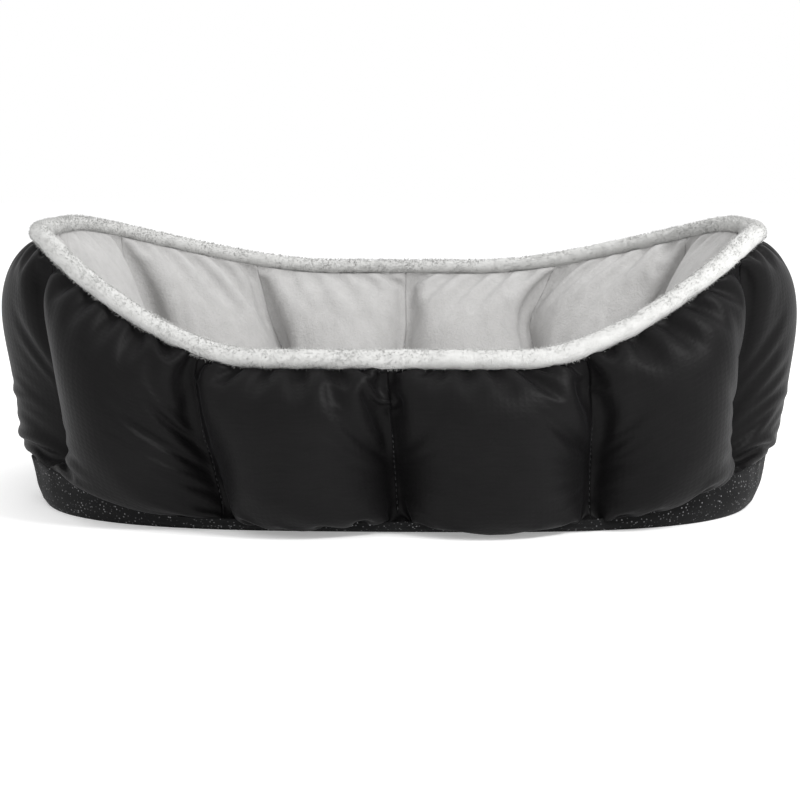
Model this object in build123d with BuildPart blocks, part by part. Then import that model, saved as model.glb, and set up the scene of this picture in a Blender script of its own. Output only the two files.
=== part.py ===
"""Pet cushion bed: an oval bed with a stuffed wall of twelve sewn chambers, a fleece rim, a non-slip
base and a loose floor cushion.

Millimetres, +Z up. The origin is on the floor under the middle of the bed. +X points to the right end
and -Y to the low front, where the pet steps in.
"""

import math
import os
from bisect import bisect_right

from build123d import *

# The rim, seen from above: a superellipse.
RIM_HALF_LENGTH = 272.0
RIM_HALF_WIDTH = 207.0
RIM_SQUARENESS = 2.8
CHAMBERS = 12

# The middle of the rim band: low in front, higher at the back, highest at both ends.
FRONT_HEIGHT = 122.0
BACK_HEIGHT = 156.0
END_HEIGHT = 201.0
FRONT_RISE = (90.0, 316.0)  # distances along the rim, from the middle of a long side
BACK_RISE = (60.0, 350.0)

# The fleece band and the roll inside it.
BAND_RADIUS = 7.5
BAND_WALL = 2.2
BAND_CLEARANCE = 0.4
BAND_JOIN_GAP = 0.6
RIM_SECTIONS = 48

# The non-slip base cover, a tray round the foot of the wall whose edge rises towards the ends.
COVER_THICKNESS = 1.5
# Its sections as (height, offset from the rim line at the sides, the same at the ends, squareness).
COVER_FLARE = (
    (0.0, -10.0, -2.0, 3.2),
    (4.0, -5.0, 2.0, 3.1),
    (12.0, 2.0, 6.0, 2.95),
    (24.0, 8.0, 10.0, 2.8),
    (40.0, 13.0, 13.0, 2.8),
)
COVER_EDGE = (8.0, 36.0)  # height of its edge at the middle and at the ends
COVER_RISE = (140.0, 270.0)  # between these distances from the middle, along X
COVER_CLEARANCE = 1.5
TRIM_HALF_LENGTH = 300.0  # the block that trims the tray to its edge
TRIM_HALF_WIDTH = 240.0
TRIM_TOP = 60.0

# The skins of the wall, and the gap that keeps one piece clear of the next.
OUTER_THICKNESS = 1.2
LINING_THICKNESS = 3.0
SKIN_CLEARANCE = 0.4
SEAM_HALF_GAP = 0.9
STITCH_THICKNESS = 1.0
STITCH_SHARE = (0.12, 0.66)  # the stitched part of a seam, as shares of the rim's height

# The wall's outline as (share of the rim's height, offset at a seam, offset at a chamber's crest).
# Offsets are outwards from the rim line.
OUTER_LINE = ((0.88, 5.0, 22.0), (0.70, 1.0, 31.5), (0.46, -10.0, 33.0), (0.27, -12.0, 25.0))
INNER_LINE = ((0.86, -15.0, -21.0), (0.62, -32.0, -50.0), (0.36, -50.0, -71.0))
WALL_TOP = (3.0, -6.0)  # the outer and the inner edge under the band
WALL_TOP_DROP = (8.4, 7.6)  # and how far they are below the band's middle
INNER_FOOT = (-64.0, -74.0)  # the lining's lower edge at a seam and at a crest
WALL_FOOT = 3.0  # height of the wall's underside
SEAM_FOOT_INSET = 6.0  # how far the outer skin's lower edge steps in at a seam
FILLING_FOOT = -24.0  # outer edge of the stuffing's flat underside, outwards from the rim line
FILLING_EDGE_INSET = 4.0  # how far the stuffing stays inside the cover's edge
# Stations of a chamber from seam to seam, and how full it is there.
CHAMBER_STATIONS = ((0.0, 0.0), (0.2, 0.8), (0.5, 1.0), (0.8, 0.8), (1.0, 0.0))

# The floor, inwards from the rim line to its edge.
FLOOR_INSET = 78.0
PAD_THICKNESS = 8.0
PAD_FOOT = 2.1
FLOOR_LINING_THICKNESS = 3.0
FLOOR_LINING_FOOT = PAD_FOOT + PAD_THICKNESS + 0.5

# The loose cushion.
CUSHION_INSET = 80.0
CUSHION_THICKNESS = 42.0
CUSHION_SKIN = 2.0
CUSHION_SEAM_GAP = 0.5
CUSHION_FILLING_GAP = 0.5
CUSHION_FOOT = FLOOR_LINING_FOOT + FLOOR_LINING_THICKNESS + 0.5
CUSHION_ROUNDING = 19.0

CHAMBER_NAMES = (
    "front_right", "front_corner_right", "right_end_front", "right_end_back", "back_corner_right",
    "back_right", "back_left", "back_corner_left", "left_end_back", "left_end_front",
    "front_corner_left", "front_left",
)
OUTLINE_POINTS = 32
EDGE_POINTS = 32
ARC_STEPS = 7200


def superellipse(angle, side_inset=0.0, end_inset=0.0, power=RIM_SQUARENESS):
    """Point of the rim line, moved in at the sides and at the ends, at an angle from +X."""
    length, width = RIM_HALF_LENGTH - end_inset, RIM_HALF_WIDTH - side_inset
    radius = (abs(math.cos(angle) / length) ** power + abs(math.sin(angle) / width) ** power) ** (-1 / power)
    return radius * math.cos(angle), radius * math.sin(angle)


def measured_rim():
    """Distances along the rim from the middle of the front, and the points at them."""
    points = [superellipse(-math.pi / 2 + 2 * math.pi * i / ARC_STEPS) for i in range(ARC_STEPS + 1)]
    distances = [0.0]
    for start, end in zip(points, points[1:]):
        distances.append(distances[-1] + math.dist(start, end))
    return distances, points


RIM_DISTANCES, RIM_POINTS = measured_rim()
RIM_LENGTH = RIM_DISTANCES[-1]
CHAMBER_LENGTH = RIM_LENGTH / CHAMBERS


def rim_point(distance):
    """Point of the rim line at a distance round from the middle of the front."""
    distance %= RIM_LENGTH
    i = min(bisect_right(RIM_DISTANCES, distance), ARC_STEPS) - 1
    share = (distance - RIM_DISTANCES[i]) / (RIM_DISTANCES[i + 1] - RIM_DISTANCES[i])
    (x0, y0), (x1, y1) = RIM_POINTS[i], RIM_POINTS[i + 1]
    return x0 + share * (x1 - x0), y0 + share * (y1 - y0)


def wall_plane(distance):
    """Upright plane across the wall: its x is outwards, its y is up."""
    x, y = rim_point(distance)
    power = RIM_SQUARENESS - 1
    normal_x = math.copysign(abs(x / RIM_HALF_LENGTH) ** power / RIM_HALF_LENGTH, x)
    normal_y = math.copysign(abs(y / RIM_HALF_WIDTH) ** power / RIM_HALF_WIDTH, y)
    return Plane(origin=(x, y, 0), x_dir=(normal_x, normal_y, 0), z_dir=(normal_y, -normal_x, 0))


def smooth_step(value, start, end):
    share = min(1.0, max(0.0, (value - start) / (end - start)))
    return share * share * (3 - 2 * share)


def from_long_side(distance):
    """Distance from the middle of the nearer long side, and whether that is the front."""
    distance %= RIM_LENGTH
    to_front = min(distance, RIM_LENGTH - distance)
    is_front = to_front < RIM_LENGTH / 4
    return (to_front if is_front else RIM_LENGTH / 2 - to_front), is_front


def rim_height(distance):
    along, is_front = from_long_side(distance)
    low, rise = (FRONT_HEIGHT, FRONT_RISE) if is_front else (BACK_HEIGHT, BACK_RISE)
    return low + (END_HEIGHT - low) * smooth_step(along, *rise)


def cover_edge(x):
    """Height of the base cover's edge."""
    low, high = COVER_EDGE
    return low + (high - low) * smooth_step(abs(x), *COVER_RISE)


def cover_offset(height):
    """Offset of the base cover's outer face at a height, outwards from the rim line."""
    for (z0, u0, *_), (z1, u1, *_) in zip(COVER_FLARE, COVER_FLARE[1:]):
        if height <= z1:
            return u0 + (u1 - u0) * (height - z0) / (z1 - z0)
    raise ValueError(f"the base cover doesn't reach {height}")


def wall_lines(distance, fullness):
    """The wall's outer and inner surface at a station, from the rim down to the cover and the floor."""
    height = rim_height(distance)
    edge_height = cover_edge(rim_point(distance)[0])
    outer = [(WALL_TOP[0], height - WALL_TOP_DROP[0])]
    outer += [(seam + fullness * (crest - seam), share * height) for share, seam, crest in OUTER_LINE]
    outer += [(cover_offset(edge_height) - (1 - fullness) * SEAM_FOOT_INSET, edge_height + COVER_CLEARANCE)]
    inner = [(WALL_TOP[1], height - WALL_TOP_DROP[1])]
    inner += [(seam + fullness * (crest - seam), share * height) for share, seam, crest in INNER_LINE]
    inner += [(INNER_FOOT[0] + fullness * (INNER_FOOT[1] - INNER_FOOT[0]), WALL_FOOT)]
    return outer, inner


def shifted(line, amount):
    """A line's points moved sideways: to the right of its direction when the amount is positive."""
    moved = []
    for i, (u, z) in enumerate(line):
        before, after = line[max(i - 1, 0)], line[min(i + 1, len(line) - 1)]
        du, dz = after[0] - before[0], after[1] - before[1]
        size = math.hypot(du, dz)
        moved.append((u + amount * dz / size, z - amount * du / size))
    return moved


def chamber_stations(index):
    """Distances round the rim and fullness at each station of a chamber, clear of the seams' threads."""
    start = index * CHAMBER_LENGTH + SEAM_HALF_GAP
    run = CHAMBER_LENGTH - 2 * SEAM_HALF_GAP
    return [(start + share * run, fullness) for share, fullness in CHAMBER_STATIONS]


def panel_section(line, thickness):
    """The two faces of a panel: a line, and back along the same line moved sideways."""
    return line, shifted(line, thickness)[::-1], ()


def filling_section(outer, inner):
    """The stuffing's faces inside both skins, and its corners in the base cover."""
    outer = shifted(outer, OUTER_THICKNESS + SKIN_CLEARANCE)
    inner = shifted(inner, -(LINING_THICKNESS + SKIN_CLEARANCE))
    top = min(outer[0][1], inner[0][1])
    outer[0] = (outer[0][0], top)
    inner[0] = (inner[0][0], top)
    inner[-1] = (inner[-1][0], WALL_FOOT)
    edge_height = outer[-1][1] - COVER_CLEARANCE
    corner = (outer[-1][0] - FILLING_EDGE_INSET, edge_height)
    return outer, inner[::-1], (corner, (FILLING_FOOT, WALL_FOOT))


def loft_piece(label, planes, sections):
    """A solid through closed sections: two curves joined by a straight line and by a row of corners."""
    with BuildPart() as piece:
        for plane, (first, second, corners) in zip(planes, sections):
            with BuildSketch(plane):
                with BuildLine():
                    Spline(*first)
                    Polyline(first[-1], *corners, second[0])
                    Spline(*second)
                    Line(second[-1], first[0])
                make_face()
        loft()
    write(piece, label)


def make_wall(index, name):
    """One chamber: its outer panel, its plush lining panel and its stuffing."""
    stations = chamber_stations(index)
    planes = [wall_plane(distance) for distance, _ in stations]
    lines = [wall_lines(distance, fullness) for distance, fullness in stations]
    loft_piece(f"outer_panel_{name}", planes, [panel_section(outer, OUTER_THICKNESS) for outer, _ in lines])
    loft_piece(f"lining_panel_{name}", planes, [panel_section(inner, -LINING_THICKNESS) for _, inner in lines])
    loft_piece(f"wall_filling_{name}", planes, [filling_section(outer, inner) for outer, inner in lines])


def make_seam_stitching():
    """The rows of stitches through both skins, one thin strip for each seam."""
    low, high = STITCH_SHARE
    with BuildPart() as seam_stitching:
        for index in range(CHAMBERS):
            distance = index * CHAMBER_LENGTH
            height = rim_height(distance)
            outer, inner = wall_lines(distance, 0.0)
            start = max(low * height, outer[-1][1])
            plane = wall_plane(distance)
            with BuildSketch(plane.offset(-STITCH_THICKNESS / 2)):
                with BuildLine():
                    corners = [(line_at(outer, z), z) for z in (start, high * height)]
                    corners += [(line_at(inner, z), z) for z in (high * height, start)]
                    Polyline(*corners, close=True)
                make_face()
            extrude(amount=STITCH_THICKNESS)
    write(seam_stitching, "seam_stitching")


def line_at(line, z):
    """Offset of a line of points at a height, between the two points beside it."""
    for (u0, z0), (u1, z1) in zip(line, line[1:]):
        if z1 <= z <= z0:
            return u1 + (u0 - u1) * (z - z1) / (z0 - z1)
    raise ValueError(f"the line doesn't reach {z}")


def make_rim():
    """The fleece band, a tube whose ends meet at the middle of the back, and the roll inside it."""
    start = RIM_LENGTH / 2 + BAND_JOIN_GAP / 2
    step = (RIM_LENGTH - BAND_JOIN_GAP) / RIM_SECTIONS
    planes = []
    for i in range(RIM_SECTIONS + 1):
        distance = start + i * step
        plane = wall_plane(distance)
        centre = plane.from_local_coords((0, rim_height(distance), 0))
        planes.append(Plane(origin=centre, x_dir=plane.x_dir, z_dir=plane.z_dir))
    with BuildPart() as rim_band:
        for radius, mode in ((BAND_RADIUS, Mode.ADD), (BAND_RADIUS - BAND_WALL, Mode.SUBTRACT)):
            for plane in planes:
                with BuildSketch(plane):
                    Circle(radius)
            loft(mode=mode)
    write(rim_band, "rim_band")

    with BuildPart() as rim_core:
        for plane in planes:
            with BuildSketch(plane):
                Circle(BAND_RADIUS - BAND_WALL - BAND_CLEARANCE)
        loft()
    write(rim_core, "rim_core")


def outline(side_inset, end_inset, power=RIM_SQUARENESS):
    """Points round the rim line, moved in at the sides and at the ends."""
    angles = [2 * math.pi * i / OUTLINE_POINTS for i in range(OUTLINE_POINTS)]
    return [superellipse(angle, side_inset, end_inset, power) for angle in angles]


def make_base():
    """The base cover's tray, the wadding on its floor and the plush over that."""
    edge_stations = [TRIM_HALF_LENGTH * (2 * i / EDGE_POINTS - 1) for i in range(EDGE_POINTS + 1)]
    with BuildPart() as base_cover:
        for thickness, mode in ((0.0, Mode.ADD), (COVER_THICKNESS, Mode.SUBTRACT)):
            for height, at_sides, at_ends, power in COVER_FLARE:
                with BuildSketch(Plane.XY.offset(height + thickness)):
                    with BuildLine():
                        Spline(*outline(thickness - at_sides, thickness - at_ends, power), periodic=True)
                    make_face()
            loft(mode=mode)
        with BuildSketch(Plane.XZ):
            with BuildLine():
                edge = Spline(*[(x, cover_edge(x)) for x in edge_stations])
                Polyline(edge @ 1, (TRIM_HALF_LENGTH, TRIM_TOP), (-TRIM_HALF_LENGTH, TRIM_TOP), edge @ 0)
            make_face()
        extrude(amount=TRIM_HALF_WIDTH, both=True, mode=Mode.SUBTRACT)
    write(base_cover, "base_cover")

    with BuildPart() as base_pad:
        with BuildSketch(Plane.XY.offset(PAD_FOOT)):
            with BuildLine():
                Spline(*outline(FLOOR_INSET, FLOOR_INSET), periodic=True)
            make_face()
        extrude(amount=PAD_THICKNESS)
    write(base_pad, "base_pad")

    with BuildPart() as floor_lining:
        with BuildSketch(Plane.XY.offset(FLOOR_LINING_FOOT)):
            with BuildLine():
                Spline(*outline(FLOOR_INSET, FLOOR_INSET), periodic=True)
            make_face()
        extrude(amount=FLOOR_LINING_THICKNESS)
    write(floor_lining, "floor_lining")


def cushion_body(inset):
    """The cushion's whole shape, shrunk on every side."""
    edge = CUSHION_INSET + inset
    with BuildPart() as body:
        with BuildSketch(Plane.XY.offset(CUSHION_FOOT + inset)):
            with BuildLine():
                Spline(*outline(edge, edge), periodic=True)
            make_face()
        extrude(amount=CUSHION_THICKNESS - 2 * inset)
        fillet(body.edges().filter_by(GeomType.BSPLINE), radius=CUSHION_ROUNDING - inset)
    return body.part


def make_cushion():
    """The loose cushion: a plush top and a plain base panel that meet half way up, and its stuffing."""
    whole = cushion_body(0.0)
    hollow = cushion_body(CUSHION_SKIN)
    seam = CUSHION_FOOT + CUSHION_THICKNESS / 2
    with BuildPart() as cushion_top_panel:
        add(whole)
        add(hollow, mode=Mode.SUBTRACT)
        split(bisect_by=Plane.XY.offset(seam + CUSHION_SEAM_GAP / 2), keep=Keep.TOP)
    write(cushion_top_panel, "cushion_top_panel")

    with BuildPart() as cushion_base_panel:
        add(whole)
        add(hollow, mode=Mode.SUBTRACT)
        split(bisect_by=Plane.XY.offset(seam - CUSHION_SEAM_GAP / 2), keep=Keep.BOTTOM)
    write(cushion_base_panel, "cushion_base_panel")

    with BuildPart() as cushion_filling:
        add(cushion_body(CUSHION_SKIN + CUSHION_FILLING_GAP))
    write(cushion_filling, "cushion_filling")


def write(builder, label):
    builder.part.label = label
    export_step(builder.part, f"parts/{label}.step")


def main():
    os.makedirs("parts", exist_ok=True)
    for index, name in enumerate(CHAMBER_NAMES):
        make_wall(index, name)
    make_seam_stitching()
    make_rim()
    make_base()
    make_cushion()


main()
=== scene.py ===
import math

import bmesh
import bpy
import numpy as np
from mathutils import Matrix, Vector


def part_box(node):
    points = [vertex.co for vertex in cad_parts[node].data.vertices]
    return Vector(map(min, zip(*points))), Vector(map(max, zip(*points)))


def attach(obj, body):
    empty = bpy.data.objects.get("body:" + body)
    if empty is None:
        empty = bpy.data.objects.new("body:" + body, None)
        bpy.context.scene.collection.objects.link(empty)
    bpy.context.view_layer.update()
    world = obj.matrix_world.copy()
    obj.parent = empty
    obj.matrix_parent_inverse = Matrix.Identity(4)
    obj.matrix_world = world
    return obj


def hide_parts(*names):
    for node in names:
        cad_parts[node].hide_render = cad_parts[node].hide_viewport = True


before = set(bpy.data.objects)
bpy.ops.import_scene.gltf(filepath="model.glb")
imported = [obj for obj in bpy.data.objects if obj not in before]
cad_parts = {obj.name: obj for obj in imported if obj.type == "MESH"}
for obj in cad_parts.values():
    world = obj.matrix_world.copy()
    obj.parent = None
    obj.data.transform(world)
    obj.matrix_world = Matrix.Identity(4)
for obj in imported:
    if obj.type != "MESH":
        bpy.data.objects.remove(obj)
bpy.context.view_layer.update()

MM = 0.001
rng = np.random.default_rng(20)

# ---------------------------------------------------------------- the rim line, as in the CAD model
BAND = 7.5 * MM  # radius of the fleece band
rim_low, rim_high = (np.array(c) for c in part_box("rim_band"))
RIM_A = (rim_high[0] - rim_low[0]) / 2 - BAND
RIM_B = (rim_high[1] - rim_low[1]) / 2 - BAND
SQUARENESS = 2.8
CUSHION_SQUARENESS = 2.8  # of the cushion and the plush floor
CHAMBERS = 12
FRONT_Z, BACK_Z, END_Z = rim_low[2] + BAND, 156 * MM, rim_high[2] - BAND
FRONT_RISE, BACK_RISE = (90 * MM, 316 * MM), (60 * MM, 350 * MM)
CHAMBER_NAMES = (
    "front_right", "front_corner_right", "right_end_front", "right_end_back", "back_corner_right",
    "back_right", "back_left", "back_corner_left", "left_end_back", "left_end_front",
    "front_corner_left", "front_left",
)


def superellipse(angle, half_length, half_width, power):
    """Points at the given angles of an oval whose squareness is the power."""
    c, s = np.cos(angle), np.sin(angle)
    r = (np.abs(c / half_length) ** power + np.abs(s / half_width) ** power) ** (-1 / power)
    return np.stack([r * c, r * s], -1)


RIM_LINE = superellipse(-np.pi / 2 + np.linspace(0, 2 * np.pi, 20001), RIM_A, RIM_B, SQUARENESS)
RIM_RUN = np.concatenate([[0], np.cumsum(np.linalg.norm(np.diff(RIM_LINE, axis=0), axis=1))])
RIM_LENGTH = RIM_RUN[-1]


def rim_xy(s):
    """Points of the rim line at distances from the middle of the front, and the outward normals."""
    s = np.mod(s, RIM_LENGTH)
    x, y = np.interp(s, RIM_RUN, RIM_LINE[:, 0]), np.interp(s, RIM_RUN, RIM_LINE[:, 1])
    power = SQUARENESS - 1
    normal_x = np.sign(x) * np.abs(x / RIM_A) ** power / RIM_A
    normal_y = np.sign(y) * np.abs(y / RIM_B) ** power / RIM_B
    normal = np.stack([normal_x, normal_y], -1)
    return np.stack([x, y], -1), normal / np.linalg.norm(normal, axis=-1, keepdims=True)


def step(v, a, b):
    """Smooth step from 0 at a to 1 at b."""
    t = np.clip((v - a) / (b - a), 0, 1)
    return t * t * (3 - 2 * t)


def rim_z(s):
    """Height of the rim line: low in front, higher at the back, highest at the ends."""
    s = np.mod(s, RIM_LENGTH)
    to_front = np.minimum(s, RIM_LENGTH - s)
    to_back = RIM_LENGTH / 2 - to_front
    front = FRONT_Z + (END_Z - FRONT_Z) * step(to_front, *FRONT_RISE)
    back = BACK_Z + (END_Z - BACK_Z) * step(to_back, *BACK_RISE)
    return np.where(to_front < to_back, front, back)


# the base cover's sections: height, offset from the rim line at the sides and at the ends; then squareness
FLARE = np.array([(0, -10, -2), (4, -5, 2), (12, 2, 6), (24, 8, 10), (40, 13, 13)]) * MM
FLARE_POWER = np.array([3.2, 3.1, 2.95, 2.8, 2.8])
# the height of its edge, and the distances from the middle between which it rises
EDGE_AT_SIDES, EDGE_AT_ENDS, EDGE_RISE = 8 * MM, 36 * MM, (140 * MM, 270 * MM)


def cover_edge(x):
    """Height of the base cover's edge."""
    return EDGE_AT_SIDES + (EDGE_AT_ENDS - EDGE_AT_SIDES) * step(np.abs(x), *EDGE_RISE)


def cover_offset(z):
    """Offset of the base cover from the rim line, outwards."""
    return np.interp(z, FLARE[:, 0], FLARE[:, 1])


# ---------------------------------------------------------------- helpers
def mesh_object(name, points, faces, uv=None, smooth=True):
    """A mesh of points and faces, put in the scene."""
    mesh = bpy.data.meshes.new(name)
    mesh.from_pydata([tuple(p) for p in points], [], [tuple(f) for f in faces])
    if uv is not None:
        layer = mesh.uv_layers.new(name="UVMap")
        loops = np.array([l.vertex_index for l in mesh.loops])
        layer.data.foreach_set("uv", np.asarray(uv)[loops].astype(np.float32).ravel())
    if smooth:
        mesh.polygons.foreach_set("use_smooth", [True] * len(mesh.polygons))
    mesh.update()
    obj = bpy.data.objects.new(name, mesh)
    bpy.context.scene.collection.objects.link(obj)
    return obj


def grid_faces(cols, rows, closed=False, flip=False):
    """Quads of a grid whose point (row, col) has index row * cols + col."""
    faces = []
    for r in range(rows - 1):
        for c in range(cols if closed else cols - 1):
            d = (c + 1) % cols
            q = (r * cols + c, r * cols + d, (r + 1) * cols + d, (r + 1) * cols + c)
            faces.append(q[::-1] if flip else q)
    return faces


def coords(obj):
    """Points of an object's mesh with its modifiers."""
    dg = bpy.context.evaluated_depsgraph_get()
    mesh = obj.evaluated_get(dg).to_mesh()
    out = np.empty(len(mesh.vertices) * 3, np.float32)
    mesh.vertices.foreach_get("co", out)
    return out.reshape(-1, 3).astype(float)


def normals(points, sign):
    """Unit normals of a grid of points that is closed along its rows."""
    along = np.roll(points, -1, 1) - np.roll(points, 1, 1)
    across = np.gradient(points, axis=0)
    n = np.cross(along, across) * sign
    return n / np.maximum(np.linalg.norm(n, axis=-1, keepdims=True), 1e-12)


# the cloth of the walls: what is left of its speed after a step, the share of each mend that it takes,
# the turns of mending in a step, and how far it stays off the floor
SPEED_LEFT, MEND, TURNS, FLOOR_GAP = 0.92, 0.42, 3, 0.8 * MM
# steps, push of the stuffing in a step, stiffness when squeezed, stiffness against bending
RELAX_OUTER = (80, 0.006 * MM, 0.8, 0.15)
RELAX_LINING = (60, 0.004 * MM, 0.6, 0.4)


def relax(points, rest, pins, sign, steps, pressure, squeeze, bend):
    """Cloth: a closed grid of points with the edge lengths of its cut. It hardly stretches, folds when
    it is squeezed, and is blown along its normal. points and rest are (rows, columns, 3), pins (rows,
    columns)."""
    p = points.astype(np.float32)
    cut = rest.astype(np.float32)
    free = (1 - pins).astype(np.float32)[..., None]
    # row step, column step, stiffness when stretched, stiffness when squeezed
    kinds = (
        (0, 1, 1.0, squeeze), (1, 0, 1.0, squeeze), (1, 1, 0.5, 0.3 * squeeze), (1, -1, 0.5, 0.3 * squeeze),
        (0, 2, 0.0, bend), (2, 0, 0.0, bend), (0, 4, 0.0, bend * 0.5),
    )
    links = []
    for dr, dc, pull, push in kinds:
        rows = slice(0, len(p) - dr)
        length = np.linalg.norm(np.roll(cut, -dc, 1)[dr:] - cut[rows], axis=-1, keepdims=True)
        links.append((dr, dc, pull, push, rows, length))
    speed = np.zeros_like(p)
    for _ in range(steps):
        before = p.copy()
        p += (speed * SPEED_LEFT + normals(p, sign).astype(np.float32) * pressure) * free
        for _ in range(TURNS):
            move = np.zeros_like(p)
            for dr, dc, pull, push, rows, length in links:
                edge = np.roll(p, -dc, 1)[dr:] - p[rows]
                size = np.sqrt((edge * edge).sum(-1, keepdims=True)) + 1e-9
                wrong = (size - length) / size
                fix = edge * (np.where(wrong > 0, pull, push) * wrong * 0.5)
                move[rows] += fix
                move[dr:] -= np.roll(fix, dc, 1)
            p += move * free * MEND
            p[..., 2] = np.maximum(p[..., 2], FLOOR_GAP)
        speed = p - before
    return p.astype(float)


def smooth_line(points, count):
    """Catmull-Rom curve through points, sampled at equal lengths. points: (columns, n, 2)."""
    before = 2 * points[..., :1, :] - points[..., 1:2, :]
    after = 2 * points[..., -1:, :] - points[..., -2:-1, :]
    p = np.concatenate([before, points, after], -2)
    fine = []
    for i in range(points.shape[-2] - 1):
        a, b, c, d = (p[..., i + k, :] for k in range(4))
        for t in np.linspace(0, 1, 12, endpoint=False):
            square = (2 * a - 5 * b + 4 * c - d) * t * t
            cube = (3 * b - a - 3 * c + d) * t ** 3
            fine.append(0.5 * (2 * b + (c - a) * t + square + cube))
    fine.append(points[..., -1, :])
    fine = np.stack(fine, -2)
    pieces = np.linalg.norm(np.diff(fine, axis=-2), axis=-1)
    run = np.concatenate([np.zeros((len(fine), 1)), np.cumsum(pieces, -1)], -1)
    out = np.empty((len(fine), count, 2))
    for i in range(len(fine)):
        t = np.linspace(0, run[i][-1], count)
        for k in range(2):
            out[i, :, k] = np.interp(t, run[i], fine[i][:, k])
    return out, run[..., -1]


# ---------------------------------------------------------------- materials
def nodes_of(mat):
    """A material's node tree, nodes, links and main shader."""
    tree = mat.node_tree
    return tree, tree.nodes, tree.links, tree.nodes["Principled BSDF"]


def new_material(name, roughness, sheen=0.0, sheen_tint=(1, 1, 1), sheen_roughness=0.5, specular=0.5):
    mat = bpy.data.materials.new(name)
    mat.use_nodes = True
    bsdf = mat.node_tree.nodes["Principled BSDF"]
    bsdf.inputs["Roughness"].default_value = roughness
    bsdf.inputs["Sheen Weight"].default_value = sheen
    bsdf.inputs["Sheen Tint"].default_value = (*sheen_tint, 1)
    bsdf.inputs["Sheen Roughness"].default_value = sheen_roughness
    bsdf.inputs["Specular IOR Level"].default_value = specular
    return mat


def noise(tree, source, scale, detail=2.0, roughness=0.5, stretch=None):
    if stretch is not None:
        mapping = tree.nodes.new("ShaderNodeMapping")
        mapping.inputs["Scale"].default_value = stretch
        tree.links.new(source, mapping.inputs["Vector"])
        source = mapping.outputs["Vector"]
    made = tree.nodes.new("ShaderNodeTexNoise")
    made.inputs["Scale"].default_value = scale
    made.inputs["Detail"].default_value = detail
    made.inputs["Roughness"].default_value = roughness
    tree.links.new(source, made.inputs["Vector"])
    return made.outputs["Fac"]


def ramp(tree, source, stops):
    made = tree.nodes.new("ShaderNodeValToRGB")
    elements = made.color_ramp.elements
    while len(elements) < len(stops):
        elements.new(0.5)
    for element, (place, colour) in zip(elements, stops):
        element.position = place
        element.color = (*colour, 1)
    tree.links.new(source, made.inputs["Fac"])
    return made.outputs["Color"]


def math_node(tree, operation, a, b):
    made = tree.nodes.new("ShaderNodeMath")
    made.operation = operation
    for socket, value in zip(made.inputs, (a, b)):
        if isinstance(value, (int, float)):
            socket.default_value = value
        else:
            tree.links.new(value, socket)
    return made.outputs["Value"]


def bump(tree, height, distance, strength=1.0, under=None):
    made = tree.nodes.new("ShaderNodeBump")
    made.inputs["Distance"].default_value = distance
    made.inputs["Strength"].default_value = strength
    tree.links.new(height, made.inputs["Height"])
    if under is not None:
        tree.links.new(under, made.inputs["Normal"])
    return made.outputs["Normal"]


def coordinates(tree, kind="Object"):
    return tree.nodes.new("ShaderNodeTexCoord").outputs[kind]


def woven(name, dark, light, roughness, sheen, tint, pitch):
    """Plain-woven cloth: threads both ways along the cut, with slubs and faint mottling."""
    mat = new_material(name, roughness, sheen, tint, 0.4, 0.09)
    tree, nodes, links, bsdf = nodes_of(mat)
    cut = coordinates(tree, "UV")
    place = coordinates(tree)
    heights = []
    for axis, stretch in (("X", (1, 0.04, 1)), ("Y", (0.04, 1, 1))):
        wave = nodes.new("ShaderNodeTexWave")
        wave.wave_type = "BANDS"
        wave.bands_direction = axis
        wave.inputs["Scale"].default_value = 1 / pitch * 0.05
        wave.inputs["Distortion"].default_value = 0.6
        wave.inputs["Detail"].default_value = 1.0
        wave.inputs["Detail Scale"].default_value = 2.0
        links.new(cut, wave.inputs["Vector"])
        heights.append(wave.outputs["Fac"])
    weave = math_node(tree, "MAXIMUM", *heights)
    slub = noise(tree, cut, 900, 2, 0.6, (0.06, 1, 1))
    blotch = noise(tree, place, 26, 4, 0.6)
    mixed = math_node(
        tree, "ADD", math_node(tree, "MULTIPLY", blotch, 0.55), math_node(tree, "MULTIPLY", slub, 0.45))
    links.new(ramp(tree, mixed, ((0.3, dark), (0.7, light))), bsdf.inputs["Base Color"])
    fine = bump(tree, weave, 0.12 * MM, 0.55)
    creases = noise(tree, place, 210, 3, 0.55)
    links.new(bump(tree, creases, 0.5 * MM, 0.35, fine), bsdf.inputs["Normal"])
    return mat


def plush(name, dark, mid, light, sheen, crush, pile, relief=1.0):
    """Short pile: lighter and darker where it is brushed one way or the other, with fine fibre bumps."""
    mat = new_material(name, 0.95, sheen, (1, 1, 1), 0.6, 0.12)
    tree, nodes, links, bsdf = nodes_of(mat)
    place = coordinates(tree)
    brushed = noise(tree, place, crush, 5, 0.62, (1, 1, 0.7))
    fibres = noise(tree, place, pile, 3, 0.7)
    tufts = noise(tree, place, pile * 0.33, 3, 0.6)
    small = math_node(
        tree, "ADD", math_node(tree, "MULTIPLY", tufts, 0.25), math_node(tree, "MULTIPLY", fibres, 0.15))
    shade = math_node(tree, "ADD", math_node(tree, "MULTIPLY", brushed, 0.6), small)
    links.new(ramp(tree, shade, ((0.36, dark), (0.5, mid), (0.64, light))), bsdf.inputs["Base Color"])
    first = bump(tree, fibres, 0.7 * MM, 0.6)
    second = bump(tree, tufts, 1.4 * MM * relief, 0.45, first)
    links.new(bump(tree, brushed, 2.0 * MM * relief, 0.5, second), bsdf.inputs["Normal"])
    return mat


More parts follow.
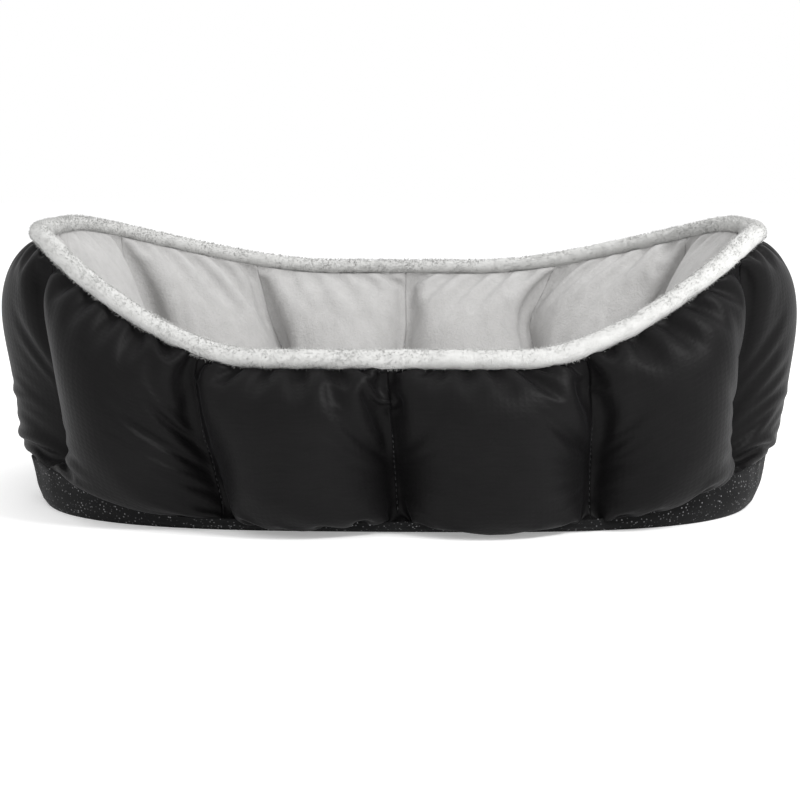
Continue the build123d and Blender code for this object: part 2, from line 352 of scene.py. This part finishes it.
def dotted(name, base, dot):
    """Non-slip cloth: fine dark ribbing with small pale rubber dots of uneven size and brightness."""
    mat = new_material(name, 0.7, 0.02, (0.7, 0.7, 0.75), 0.4, 0.12)
    tree, nodes, links, bsdf = nodes_of(mat)
    place = coordinates(tree)
    cells = nodes.new("ShaderNodeTexVoronoi")
    cells.inputs["Scale"].default_value = 420
    cells.inputs["Randomness"].default_value = 0.85
    links.new(place, cells.inputs["Vector"])
    spot = ramp(tree, cells.outputs["Distance"], ((0.16, (1, 1, 1)), (0.3, (0, 0, 0))))
    some = ramp(tree, noise(tree, place, 330, 1, 0.5), ((0.42, (0, 0, 0)), (0.62, (1, 1, 1))))
    bright = math_node(tree, "MULTIPLY", spot, some)
    mix = nodes.new("ShaderNodeMix")
    mix.data_type = "RGBA"
    links.new(bright, mix.inputs["Factor"])
    mix.inputs["A"].default_value = (*base, 1)
    mix.inputs["B"].default_value = (*dot, 1)
    links.new(mix.outputs["Result"], bsdf.inputs["Base Color"])
    grain = noise(tree, place, 700, 2, 0.6)
    first = bump(tree, grain, 0.3 * MM, 0.5)
    links.new(bump(tree, spot, 0.5 * MM, 0.7, first), bsdf.inputs["Normal"])
    return mat


def plain(name, low, high, scale, roughness, depth):
    """Fibre or thread: a grain in its colour and its surface."""
    mat = new_material(name, roughness, 0.2, (1, 1, 1), 0.5, 0.2)
    tree, nodes, links, bsdf = nodes_of(mat)
    place = coordinates(tree)
    grain = noise(tree, place, scale, 4, 0.65)
    links.new(ramp(tree, grain, ((0.35, low), (0.65, high))), bsdf.inputs["Base Color"])
    links.new(bump(tree, grain, depth, 0.7), bsdf.inputs["Normal"])
    return mat


OUTER_FABRIC = woven(
    "outer_fabric", (0.0036, 0.0034, 0.0036), (0.0068, 0.0065, 0.0067), 0.5, 0.03,
    (0.75, 0.75, 0.8), 0.6 * MM)
LINING = plush(
    "plush_lining", (0.41, 0.405, 0.40), (0.445, 0.44, 0.435), (0.48, 0.475, 0.47), 0.1, 80, 1500)
FLEECE = plush(
    "rim_fleece", (0.525, 0.525, 0.515), (0.55, 0.55, 0.54), (0.575, 0.575, 0.565), 0.1, 140, 1300, 0.5)
BASE_FABRIC = dotted("base_fabric", (0.005, 0.005, 0.0053), (0.22, 0.22, 0.225))
WADDING = plain("fibre_filling", (0.75, 0.75, 0.74), (0.9, 0.9, 0.89), 300, 0.95, 1 * MM)
THREAD = plain("thread", (0.012, 0.012, 0.013), (0.03, 0.03, 0.032), 2500, 0.55, 0.1 * MM)
LIGHT_THREAD = plain("light_thread", (0.5, 0.5, 0.51), (0.66, 0.66, 0.67), 2500, 0.6, 0.1 * MM)


# ---------------------------------------------------------------- walls
# columns in a chamber and rows down the wall
COLS = 56
ROWS = 64
N = COLS * CHAMBERS
S = np.arange(N) * RIM_LENGTH / N
XY, NORMAL = rim_xy(S)
H = rim_z(S)
PHASE = (np.arange(N) % COLS) / COLS
SLOPE = np.abs(np.gradient(H, RIM_LENGTH / N))
STEEP = np.clip(SLOPE / 0.45, 0, 1)

# share of the height above the wall's foot, then offsets at a seam, at a crest, and at a crest on the ends
OUTER_LINE = ((0.88, 5.0, 22.0, 25.0), (0.68, 1.0, 31.0, 32.0), (0.42, -10.0, 33.0, 28.5),
              (0.17, -13.0, 27.0, 21.0), (0.04, -9.0, 19.0, 12.0))
INNER_LINE = ((0.88, -6.0, -21.0, -21.0), (0.62, -18.0, -50.0, -50.0), (0.34, -34.0, -70.0, -70.0))
AT_END = step(H, 150 * MM, 195 * MM)
# along the sides, where the base is low, the chambers sag onto the floor
SAG_SHARE, SAG = 0.25, 11 * MM

# how far the seams wander along the rim, anticlockwise: near the rim, half way down and at the foot
OUTER_WANDER = np.array([
    (-5, 2, 6), (5, 9, 8), (3, 4, 2), (4, -3, 0), (-3, 4, -3), (4, -4, 2),
    (-3, 5, 0), (5, 3, -4), (-4, -3, 3), (3, -4, 0), (-4, 12, 3), (-8, 2, 16),
]) * MM
LINING_WANDER = np.array([
    (0, 4, 0), (5, -6, 0), (-4, 6, 2), (6, -3, 0), (2, 10, -4), (30, 12, -3),
    (-4, 2, 0), (0, -22, 4), (-8, -14, 4), (4, 8, 0), (5, -6, -2), (-3, 5, 0),
]) * MM

# share of the way down, and the width of the cut there compared with its top
OUTER_TAPER = ((0, 0.35, 0.7, 1), (1, 1.03, 1.02, 0.9))
LINING_TAPER = ((0, 1), (1, 0.9))


def pleats(spacing, depth, reach):
    """The gathers under the rim: ridges of random place, width, depth and reach. Returns a function that
    gives their displacement along the wall's normal, from the distance below the rim."""
    place = []
    s = 0.0
    while s < RIM_LENGTH - spacing[0]:
        s += rng.uniform(*spacing)
        width, strength = rng.uniform(0.2, 0.3), rng.uniform(0.5, 1.0)
        luck, lean = rng.uniform(0, 1), rng.normal(0, 0.12)
        place.append((s, width, strength, luck, lean))

    def field(down):
        out = np.zeros_like(down)
        for s0, width, strength, luck, lean in place:
            w = width * 0.5 * (spacing[0] + spacing[1])
            length = reach[0] + (reach[1] - reach[0]) * luck ** 2
            centre = s0 + lean * down
            d = np.mod(S[None, :] - centre + RIM_LENGTH / 2, RIM_LENGTH) - RIM_LENGTH / 2
            grow = 1 + 1.3 * down / length
            fade = np.clip(1 - down / length, 0, 1) ** 1.2
            out += strength * depth * np.exp(-(d / (w * grow)) ** 2) * fade
        return out - depth * 0.35 * np.exp(-down / reach[0])

    return field


def wall_start(lines, fullness, top, foot):
    """Sections of the wall round the bed as (ROWS, N, 2) of offset and height, and their lengths."""
    pts = [np.stack([np.full(N, top[0]), H - top[1]], -1)]
    low_base = (1 - step(foot[:, 1], 9 * MM, 22 * MM)) * (foot[:, 0] > -30 * MM)
    for share, seam, crest, end_crest in lines:
        full = crest + AT_END * (end_crest - crest)
        sag = SAG * fullness * low_base * max(0, 1 - share / SAG_SHARE)
        z = foot[:, 1] + share * (H - foot[:, 1]) - sag
        pts.append(np.stack([(seam + fullness * (full - seam)) * MM, z], -1))
    pts.append(foot)
    line, length = smooth_line(np.stack(pts, -2), ROWS)
    return np.moveaxis(line, 0, 1), length


def to_space(section):
    """(ROWS, N, 2) of offset and height to points in space."""
    xy = XY[None] + NORMAL[None] * section[..., :1]
    return np.concatenate([xy, section[..., 1:]], -1)


def wander(down, length, seams):
    """Sideways shift of a wall's points, so that its seams don't run dead straight: (ROWS, N, 3)."""
    share = down / length
    shift = np.zeros_like(down)
    for k, (upper, middle, lower) in enumerate(seams):
        columns = np.mod(np.arange(N) - k * COLS + N // 2, N) - N // 2
        near = np.clip(1 - np.abs(columns) / COLS, 0, 1)
        shift += near * np.interp(share, (0, 0.15, 0.5, 1), (0, upper, middle, lower))
    return np.stack([-NORMAL[:, 1] * shift, NORMAL[:, 0] * shift, np.zeros_like(shift)], -1)


def wall(lines, top, foot, power, excess, taper_down, seam_end, seams, pleat, sign, settings):
    """One skin of the wall as (ROWS, N, 3). Its cut is longer than the rim by the shares in excess (where
    the rim is level and where it is steep), and is sewn down at both edges and up the seams."""
    fullness = 1 - np.abs(2 * PHASE - 1) ** power
    fullness = fullness * rng.uniform(0.9, 1.06, CHAMBERS)[np.arange(N) // COLS]
    section, length = wall_start(lines, fullness, top, foot)
    points = to_space(section)
    seam_section, _ = wall_start(lines, fullness * 0, top, foot)
    seam_points = to_space(seam_section)
    down = np.linspace(0, 1, ROWS)[:, None] * length[None]
    sideways = wander(down, length, seams)
    points += sideways
    seam_points += sideways
    normal = normals(points, sign)
    field = pleat(down) * (0.5 + 0.9 * STEEP)[None] * np.clip(down / (3 * MM), 0, 1)
    points = points + normal * field[..., None]
    # the cut: a strip that is longer than the rim, by a share that changes down the wall
    share = np.linspace(0, 1, ROWS)[:, None]
    gathers = excess[0] + (excess[1] - excess[0]) * STEEP
    steps = np.concatenate([[0], 0.5 * (gathers + np.roll(gathers, -1))[:-1]])
    turn = np.cumsum(steps) / gathers.sum() * 2 * np.pi
    taper = np.interp(share, *taper_down)
    radius = gathers.mean() * RIM_LENGTH / (2 * np.pi) * taper
    near = 2 * (COLS // 4) + 1
    round_again = np.concatenate([length[-(near // 2):], length, length[:near // 2]])
    flat_length = np.convolve(round_again, np.ones(near) / near, "valid")
    rest = np.stack([radius * np.cos(turn)[None], radius * np.sin(turn)[None], H - flat_length * share], -1)
    upright = np.sqrt(np.maximum(np.diff(rest[..., 2], axis=0) ** 2 - np.diff(radius, axis=0) ** 2, 1e-10))
    rest[1:, :, 2] = rest[0, :, 2] - np.cumsum(upright, 0)
    # what is sewn down: both edges, and the lower part of the seams
    pins = np.zeros((ROWS, N))
    pins[0] = pins[-1] = 1
    for c in range(0, N, COLS):
        height = seam_section[:, c, 1] / H[c]
        pins[:, c] = np.maximum(pins[:, c], 1 - step(height, *seam_end))
        points[:, c] = seam_points[:, c] * pins[:, c, None] + points[:, c] * (1 - pins[:, c, None])
    return relax(points, rest, pins, sign, *settings)


foot_z = cover_edge(XY[:, 0])
outer_foot = np.stack([cover_offset(foot_z) - 1 * MM, foot_z + 0.5 * MM], -1)
outer = wall(
    OUTER_LINE, (2.5 * MM, 6.3 * MM), outer_foot, 2.3, (1.16, 1.24), OUTER_TAPER, (0.4, 0.66),
    OUTER_WANDER, pleats((8 * MM, 15 * MM), 5.0 * MM, (22 * MM, 100 * MM)), -1, RELAX_OUTER)
inner_offset = np.full(N, -66 * MM) - 6 * MM * (1 - np.abs(2 * PHASE - 1) ** 2.4)
inner_foot = np.stack([inner_offset, np.full(N, 10 * MM)], -1)
inner = wall(
    INNER_LINE, (-4.5 * MM, 5.2 * MM), inner_foot, 2.7, (1.05, 1.09), LINING_TAPER, (0.62, 0.92),
    LINING_WANDER, pleats((14 * MM, 34 * MM), 4.2 * MM, (24 * MM, 110 * MM)), 1, RELAX_LINING)


def keep_out(grid, limit, sign):
    """Moves points so that their offset, times sign, is at least the limit."""
    offset = ((grid[..., :2] - XY) * NORMAL).sum(-1)
    short = np.maximum(limit - sign * offset, 0)
    grid[..., :2] += NORMAL * (sign * short)[..., None]


# under the rim the two skins lie close together, and neither may come through the other
keep_out(outer, np.interp(outer[..., 2] / H, (0.5, 0.75), (-12 * MM, 0.8 * MM)), 1)
keep_out(inner, 3.6 * MM, -1)


def panels(points, name, node, side, thickness, mat):
    """Cuts a wall's skin at the seams into twelve closed sheets of cloth."""
    for k, label in enumerate(CHAMBER_NAMES):
        cols = [(k * COLS + j) % N for j in range(COLS + 1)]
        part = points[:, cols]
        run = np.broadcast_to((k * COLS + np.arange(COLS + 1)) * RIM_LENGTH / N, part.shape[:2])
        drop = np.cumsum(np.linalg.norm(np.diff(part, axis=0), axis=-1), 0)
        drop = np.concatenate([np.zeros((1, COLS + 1)), drop])
        uv = np.stack([run, drop], -1).reshape(-1, 2)
        faces = grid_faces(COLS + 1, ROWS, flip=side < 0)
        obj = mesh_object(f"{name}_{label}", part.reshape(-1, 3), faces, uv)
        obj.data.materials.append(mat)
        smooth = obj.modifiers.new("smooth", "SUBSURF")
        smooth.levels = smooth.render_levels = 1
        solid = obj.modifiers.new("thickness", "SOLIDIFY")
        solid.thickness = thickness
        solid.offset = -1
        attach(obj, "bed")
        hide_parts(f"{node}_{label}")


def fillings():
    """The stuffing of each chamber: a closed form just inside both skins."""
    skip = 4
    rows = np.arange(ROWS // 9, ROWS - ROWS // 8, skip)
    out_n, in_n = normals(outer, -1), normals(inner, 1)
    near = [np.roll(outer, d, 1) for d in range(-3, 4)]
    calm = sum(near) / len(near)
    inwards = np.concatenate([XY, foot_z[:, None]], -1) - calm[-6:]
    calm[-6:] += inwards * np.linspace(0.1, 0.3, 6)[:, None, None]
    for k, label in enumerate(CHAMBER_NAMES):
        cols = [(k * COLS + j) % N for j in range(skip, COLS - skip + 1, skip)]
        a = (calm - out_n * 9 * MM)[np.ix_(rows, cols)]
        b = (inner - in_n * 6 * MM)[np.ix_(rows, cols)][::-1]
        ring = np.concatenate([a, b], 0)  # round the section, closed
        count, width = len(ring), len(cols)
        faces = grid_faces(width, count, flip=True)
        last = (count - 1) * width
        faces += [(last + c, c, c + 1, last + c + 1)[::-1] for c in range(width - 1)]
        for c, turn in ((0, 1), (width - 1, -1)):
            half = count // 2
            side = [r * width + c for r in range(count)]
            for r in range(half - 1):
                quad = (side[r], side[r + 1], side[count - 2 - r], side[count - 1 - r])
                faces.append(quad[::turn])
        obj = mesh_object(f"filling_{label}", ring.reshape(-1, 3), faces)
        obj.data.materials.append(WADDING)
        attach(obj, "bed")
        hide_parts(f"wall_filling_{label}")


panels(outer, "outer_skin", "outer_panel", -1, 0.8 * MM, OUTER_FABRIC)
panels(inner, "lining_skin", "lining_panel", 1, 2.0 * MM, LINING)
fillings()


# ---------------------------------------------------------------- rim band
def soft_noise(shape, scale, seed):
    """Smooth periodic noise on a grid, with a spread of 1."""
    made = np.random.default_rng(seed).normal(size=shape)
    fy, fx = np.fft.fftfreq(shape[0])[:, None], np.fft.fftfreq(shape[1])[None]
    keep = np.exp(-2 * np.pi ** 2 * ((fy * scale[0]) ** 2 + (fx * scale[1]) ** 2))
    made = np.fft.ifft2(np.fft.fft2(made) * keep).real
    return made / made.std()


def tube_frame(count):
    """Points along the rim, with the directions outwards and upwards across it."""
    s = np.arange(count) * RIM_LENGTH / count
    xy, n = rim_xy(s)
    centre = np.concatenate([xy, rim_z(s)[:, None]], -1)
    along = np.roll(centre, -1, 0) - np.roll(centre, 1, 0)
    along /= np.linalg.norm(along, axis=-1, keepdims=True)
    side = np.concatenate([n, np.zeros((count, 1))], -1)
    up = np.cross(side, along)
    up *= np.sign(up[:, 2:])
    return s, centre, side, up, along


def ring_faces(count, around):
    """Faces of a closed tube with count sections of around points."""
    faces = []
    for i in range(count):
        j = (i + 1) % count
        for k in range(around):
            m = (k + 1) % around
            faces.append((i * around + k, i * around + m, j * around + m, j * around + k))
    return faces


def rim_band():
    """The fleece band: a lumpy tube along the rim."""
    around = 40
    count = 1120
    s, centre, side, up, along = tube_frame(count)
    turn = np.linspace(0, 2 * np.pi, around, endpoint=False)
    shape = (count, around)
    lumps = 0.55 * soft_noise(shape, (3.2, 3.0), 3) + 0.32 * soft_noise(shape, (1.2, 1.2), 4)
    swell = soft_noise(shape, (26, 9), 5) * 0.5
    radius = (6.5 + lumps * 0.28 + swell * 0.5) * MM
    a = np.cos(turn)[None] * radius * 1.06
    b = np.sin(turn)[None] * radius * 0.98
    points = centre[:, None] + side[:, None] * a[..., None] + up[:, None] * b[..., None]
    faces = ring_faces(count, around)
    obj = mesh_object("rim_fleece_band", points.reshape(-1, 3), faces)
    obj.data.materials.append(FLEECE)
    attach(obj, "bed")
    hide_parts("rim_band")
    return s, centre, side, up, along


def rim_roll():
    """The roll of wadding inside the band."""
    around, count, radius = 10, 160, 4.2 * MM
    _, centre, side, up, _ = tube_frame(count)
    turn = np.arange(around) * np.pi / 5
    across = side[:, None] * (np.cos(turn) * radius)[None, :, None]
    upwards = up[:, None] * (np.sin(turn) * radius)[None, :, None]
    points = centre[:, None] + across + upwards
    obj = mesh_object("rim_roll", points.reshape(-1, 3), ring_faces(count, around))
    obj.data.materials.append(WADDING)
    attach(obj, "bed")
    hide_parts("rim_core")


def spikes(name, root, direction, length, width, seed, mat):
    """Fibres of a pile: slim closed spikes standing on a surface."""
    r = np.random.default_rng(seed)
    n = len(root)
    helper = r.normal(size=(n, 3))
    u = np.cross(direction, helper)
    u /= np.linalg.norm(u, axis=-1, keepdims=True)
    v = np.cross(direction, u)
    points = np.empty((n, 4, 3))
    for i in range(3):
        t = 2 * np.pi * i / 3
        points[:, i] = root + (u * math.cos(t) + v * math.sin(t)) * width[:, None]
    points[:, 3] = root + direction * length[:, None]
    base = np.arange(n)[:, None] * 4
    faces = np.concatenate([base + q for q in ((0, 1, 3), (1, 2, 3), (2, 0, 3), (2, 1, 0))])
    obj = mesh_object(name, points.reshape(-1, 3), faces)
    obj.data.materials.append(mat)
    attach(obj, "bed")
    return obj


def rim_pile(s, centre, side, up, along):
    """The pile of the fleece, in clumps that lean together."""
    count = 46000
    r = np.random.default_rng(8)
    i = r.integers(0, len(s), count)
    t = r.uniform(0, 2 * np.pi, count)
    out = side[i] * np.cos(t)[:, None] + up[i] * np.sin(t)[:, None]
    slide = r.uniform(-0.8, 0.8, count)[:, None] * MM * along[i]
    root = centre[i] + out * r.uniform(6.0, 6.9, count)[:, None] * MM + slide
    clump = np.random.default_rng(9).normal(size=(180, 3))[(s[i] / RIM_LENGTH * 180).astype(int) % 180]
    lean = r.normal(0, 0.55, (count, 3)) + clump * 0.25
    direction = out + lean
    direction /= np.linalg.norm(direction, axis=-1, keepdims=True)
    inside = (direction * out).sum(-1) < 0.1
    direction[inside] = out[inside]
    spikes("rim_fleece_pile", root, direction, r.uniform(1.2, 2.9, count) * MM,
           r.uniform(0.16, 0.3, count) * MM, 10, FLEECE)


rim = rim_band()
rim_pile(*rim)
rim_roll()


# ---------------------------------------------------------------- base
def base_tray():
    """The non-slip cover: its turned-up edge, puckered where it is sewn on, and its flat underside."""
    edge = foot_z + 0.8 * MM
    turn = np.arctan2(XY[:, 1], XY[:, 0])
    rise = 12
    rows = []
    small = soft_noise((2, N), (0.1, 2.2), 12)[0] * 0.8 * MM
    pucker = small + soft_noise((2, N), (0.1, 7), 13)[0] * 1.4 * MM
    wave = soft_noise((2, N), (0.1, 16), 14)[0]
    for t in np.linspace(0, 1, rise):
        z = edge * (1 - t) ** 1.3
        tuck = 2.2 * MM * np.clip(edge / (36 * MM), 0, 1) * (1 - t) ** 6
        puckered = pucker * (1 - t) ** 1.5 * np.clip(edge / (20 * MM), 0.3, 1)
        off = cover_offset(z) - tuck + puckered + wave * 0.9 * MM * (1 - t) * t * 4
        level = np.interp(z, FLARE[:, 0], FLARE[:, 1]) + off - cover_offset(z)
        at_ends = np.interp(z, FLARE[:, 0], FLARE[:, 2]) + off - cover_offset(z)
        power = np.interp(z, FLARE[:, 0], FLARE_POWER)
        tray = superellipse(turn, RIM_A + at_ends, RIM_B + level, power)
        share = step(t, 0, 0.5)
        flat = (XY + NORMAL * off[:, None]) * (1 - share) + tray * share
        rows.append(np.concatenate([flat, np.maximum(z, 0.2 * MM)[:, None]], -1))
    last = rows[-1]
    for share in (0.93, 0.7, 0.4, 0.12):
        ring = last.copy()
        ring[:, :2] *= share
        ring[:, 2] = 0.0
        rows.append(ring)
    points = np.concatenate(rows)
    faces = grid_faces(N, len(rows), closed=True, flip=True)
    points = np.concatenate([points, [(0, 0, 0)]])
    first = (len(rows) - 1) * N
    faces += [(first + c, len(points) - 1, first + (c + 1) % N)[::-1] for c in range(N)]
    obj = mesh_object("base_fabric_cover", points, faces)
    obj.data.materials.append(BASE_FABRIC)
    solid = obj.modifiers.new("thickness", "SOLIDIFY")
    solid.thickness = 1.0 * MM
    solid.offset = -1
    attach(obj, "bed")
    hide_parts("base_cover")


base_tray()


def weld(mesh):
    """Joins the points that lie on each other, and turns the faces outwards."""
    bm = bmesh.new()
    bm.from_mesh(mesh)
    bmesh.ops.remove_doubles(bm, verts=bm.verts, dist=1e-6)
    bmesh.ops.recalc_face_normals(bm, faces=bm.faces)
    bm.to_mesh(mesh)
    bm.free()


def floor_pad():
    """The plush floor over its wadding, sewn down at the edge and dimpled, as two pieces."""
    low, high = (np.array(c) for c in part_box("floor_lining"))
    pad_low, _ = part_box("base_pad")
    half = (high - low) / 2
    layers = (
        ("floor_plush", "floor_lining", low[2], high[2], LINING, "plush_lining", 16 * MM),
        ("floor_wadding", "base_pad", pad_low[2], low[2] - 0.3 * MM, WADDING, "fibre_filling", 0.0),
    )
    count, rings = 160, 26
    angle = np.linspace(0, 2 * np.pi, count, endpoint=False)
    for name, nodes, z0, z1, mat, slot, grow in layers:
        edge = superellipse(angle, half[0] + grow, half[1] + grow, CUSHION_SQUARENESS)
        rows = []
        for share in np.linspace(0, 1, rings):
            x, y = edge[:, 0] * share, edge[:, 1] * share
            swell = (0.8 * np.sin(x / 0.031) * np.sin(y / 0.029) - 0.6) * MM * (1 - share ** 6)
            z = z1 + swell - (z1 - z0) * 0.55 * share ** 10
            rows.append(np.stack([x, y, z], -1))
        for share in (1.0, 0.0):
            under = rows[rings - 1].copy()
            under[:, :2] *= share
            under[:, 2] = z0
            rows.append(under)
        obj = mesh_object(name, np.concatenate(rows), grid_faces(count, len(rows), closed=True))
        weld(obj.data)
        obj.data.materials.append(mat)
        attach(obj, "bed")
        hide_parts(nodes)


floor_pad()


# ---------------------------------------------------------------- loose cushion
def cushion():
    """The cushion's shape: sewn round its middle and blown up by cloth simulation. Returns its points, the
    mesh they belong to, and the lowest, highest and middle point of the CAD cushion."""
    low, high = (np.array(c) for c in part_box("cushion_top_panel"))
    under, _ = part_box("cushion_base_panel")
    low[2] = under[2]
    half, mid = (high - low) / 2, (high + low) / 2
    count, rings = 150, 18
    angle = np.linspace(0, 2 * np.pi, count, endpoint=False)
    edge = superellipse(angle, half[0] - 2 * MM, half[1] - 2 * MM, CUSHION_SQUARENESS)
    rows = []
    for share in np.linspace(0, np.pi, 2 * rings - 1):
        r = abs(math.sin(share)) ** 0.5
        z = math.copysign(abs(math.cos(share)) ** 0.75, math.cos(share)) * (half[2] - 5 * MM)
        rows.append(np.stack([edge[:, 0] * r, edge[:, 1] * r, np.full(count, z + mid[2])], -1))
    whole = mesh_object("cushion_start", np.concatenate(rows), grid_faces(count, len(rows), closed=True))
    weld(whole.data)
    voxels = whole.modifiers.new("voxels", "REMESH")
    voxels.mode = "VOXEL"
    voxels.voxel_size = 5 * MM
    dg = bpy.context.evaluated_depsgraph_get()
    mesh = bpy.data.meshes.new_from_object(whole.evaluated_get(dg))
    bpy.data.objects.remove(whole)
    obj = bpy.data.objects.new("cushion_blown", mesh)
    bpy.context.scene.collection.objects.link(obj)
    start = np.array([v.co for v in mesh.vertices])
    seam = np.abs(start[:, 2] - mid[2]) < 2.6 * MM
    group = obj.vertex_groups.new(name="sewn")
    group.add(np.flatnonzero(seam).tolist(), 1.0, "REPLACE")
    mod = obj.modifiers.new("cloth", "CLOTH")
    cloth = mod.settings
    cloth.use_pressure = True
    cloth.uniform_pressure_force = 4.0
    cloth.vertex_group_mass = "sewn"
    cloth.effector_weights.gravity = 0
    mod.point_cache.frame_start, mod.point_cache.frame_end = 1, 20
    for f in range(1, 17):
        bpy.context.scene.frame_set(f)
    end = coords(obj)
    bpy.data.objects.remove(obj)
    bpy.context.scene.frame_set(1)
    move = end - start
    size = np.linalg.norm(move, axis=-1, keepdims=True)
    end = start + move * np.minimum(1, 9 * MM / np.maximum(size, 1e-9))
    return end, mesh, low, high, mid


def finish_cushion():
    """The cushion's top, underside and stuffing, cut from its shape."""
    end, mesh, low, high, mid = cushion()
    # press it back to lie flat underneath and keep it in its place
    end[:, 2] = np.clip(end[:, 2], low[2], None)
    top = np.clip((end[:, 2] - mid[2]) / (high[2] - mid[2]), 0, 1)
    x, y = end[:, 0], end[:, 1]
    dent = np.sin(x / 0.037 + 1.2) * np.sin(y / 0.033 + 0.4) + 0.7 * np.sin(x / 0.019 + y / 0.024)
    end[:, 2] += dent * 1.1 * MM * top
    end[:, 2] = np.minimum(end[:, 2], high[2] + 4 * MM)
    mesh.vertices.foreach_set("co", end.astype(np.float32).ravel())
    mesh.update()
    halves = (
        ("cushion_plush_top", 1, "cushion_top_panel", LINING, "cushion_plush"),
        ("cushion_underside", -1, "cushion_base_panel", BASE_FABRIC, "base_fabric"),
    )
    for name, way, replaced, mat, slot in halves:
        bm = bmesh.new()
        bm.from_mesh(mesh)
        geom = bm.verts[:] + bm.edges[:] + bm.faces[:]
        bmesh.ops.bisect_plane(
            bm, geom=geom, plane_co=(0, 0, mid[2]), plane_no=(0, 0, way), clear_inner=True)
        part = bpy.data.meshes.new(name)
        bm.to_mesh(part)
        bm.free()
        obj = bpy.data.objects.new(name, part)
        bpy.context.scene.collection.objects.link(obj)
        part.polygons.foreach_set("use_smooth", [True] * len(part.polygons))
        part.materials.clear()
        part.materials.append(mat)
        smooth = obj.modifiers.new("smooth", "SUBSURF")
        smooth.levels = smooth.render_levels = 1
        solid = obj.modifiers.new("thickness", "SOLIDIFY")
        solid.thickness = 1.5 * MM
        solid.offset = -1
        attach(obj, "cushion")
        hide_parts(replaced)
    fill = bpy.data.meshes.new("cushion_stuffing")
    bm = bmesh.new()
    bm.from_mesh(mesh)
    bm.normal_update()
    for v in bm.verts:
        v.co -= v.normal * 3 * MM
    bm.to_mesh(fill)
    bm.free()
    obj = bpy.data.objects.new("cushion_stuffing", fill)
    bpy.context.scene.collection.objects.link(obj)
    fill.materials.clear()
    fill.materials.append(WADDING)
    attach(obj, "cushion")
    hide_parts("cushion_filling")


finish_cushion()


# ---------------------------------------------------------------- stitches
STITCH, STITCH_PITCH = 2.6 * MM, 4.2 * MM


def stitches():
    """Short stitches down the seams of the wall, dark outside and light inside."""
    skins = (("seam_thread_outside", outer, -1, THREAD), ("seam_thread_inside", inner, 1, LIGHT_THREAD))
    for name, grid, sign, mat in skins:
        parts = []
        for k in range(CHAMBERS):
            c = k * COLS
            line = grid[:, c]
            n = normals(grid, sign)[:, c]
            h = line[:, 2] / H[c]
            keep = np.flatnonzero((h > 0.1) & (h < 0.6))
            run = np.concatenate([[0], np.cumsum(np.linalg.norm(np.diff(line[keep], axis=0), axis=-1))])
            for a in np.arange(2 * MM, run[-1] - 3 * MM, STITCH_PITCH):
                first = np.array([np.interp(a, run, line[keep][:, i]) for i in range(3)])
                last = np.array([np.interp(a + STITCH, run, line[keep][:, i]) for i in range(3)])
                out = np.array([np.interp(a, run, n[keep][:, i]) for i in range(3)])
                parts.append((first, last, out))
        points, faces = [], []
        for p, q, out in parts:
            along = (q - p) / np.linalg.norm(q - p)
            side = np.cross(along, out)
            base = len(points)
            for t, w, lift in ((0, 0.1, -0.2), (0.25, 0.3, 0.25), (0.75, 0.3, 0.25), (1, 0.1, -0.2)):
                mid = p + (q - p) * t + out * lift * MM
                for a in range(4):
                    ang = a * np.pi / 2
                    points.append(mid + (side * math.cos(ang) + out * math.sin(ang)) * w * MM)
            for r in range(3):
                low = base + r * 4
                for a in range(4):
                    b = (a + 1) % 4
                    faces.append((low + a, low + b, low + 4 + b, low + 4 + a))
            faces.append(tuple(base + a for a in range(4))[::-1])
            faces.append(tuple(base + 12 + a for a in range(4)))
        obj = mesh_object(name, points, faces)
        obj.data.materials.append(mat)
        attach(obj, "bed")
        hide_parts("seam_stitching")


stitches()

# ---------------------------------------------------------------- camera
camera = bpy.data.objects.new("camera", bpy.data.cameras.new("camera"))
bpy.context.scene.collection.objects.link(camera)
bpy.context.scene.camera = camera
camera.data.sensor_width = 36.0
camera.data.lens = 85.2
azimuth, elevation, distance = math.radians(1.7), math.radians(8.0), 1.5
level = math.cos(elevation)
back = Vector((math.sin(azimuth) * level, -math.cos(azimuth) * level, math.sin(elevation)))
camera.location = Vector((0.001, 0, 0.065)) + back * distance
camera.rotation_euler = (-back).to_track_quat("-Z", "Y").to_euler()

# ---------------------------------------------------------------- light and floor
bpy.context.scene.view_settings.view_transform = "Standard"
world = bpy.data.worlds.new("studio")
bpy.context.scene.world = world
world.use_nodes = True
background = world.node_tree.nodes["Background"].inputs
background["Color"].default_value = (1, 1, 1, 1)
background["Strength"].default_value = 1.0


def area_light(name, place, target, size, power):
    """A rectangular lamp at a place, turned to a target."""
    light = bpy.data.objects.new(name, bpy.data.lights.new(name, "AREA"))
    bpy.context.scene.collection.objects.link(light)
    light.data.shape = "RECTANGLE"
    light.data.size, light.data.size_y = size
    light.data.energy = power
    light.location = place
    light.rotation_euler = (Vector(target) - Vector(place)).to_track_quat("-Z", "Y").to_euler()


area_light("key", (1.1, -0.9, 1.3), (0, 0, 0.08), (0.5, 0.4), 22)
area_light("top", (-0.4, 0.5, 1.6), (0, 0, 0.05), (1.4, 1.0), 5)

floor = mesh_object("floor", [(-6, -6, 0), (6, -6, 0), (6, 6, 0), (-6, 6, 0)], [(0, 1, 2, 3)], smooth=False)
paper = bpy.data.materials.new("paper")
paper.use_nodes = True
shader = paper.node_tree.nodes["Principled BSDF"].inputs
shader["Base Color"].default_value = (0.86, 0.86, 0.86, 1)
shader["Roughness"].default_value = 0.9
shader["Specular IOR Level"].default_value = 0.0
shader["Emission Color"].default_value = (1, 1, 1, 1)
shader["Emission Strength"].default_value = 0.3
floor.data.materials.append(paper)
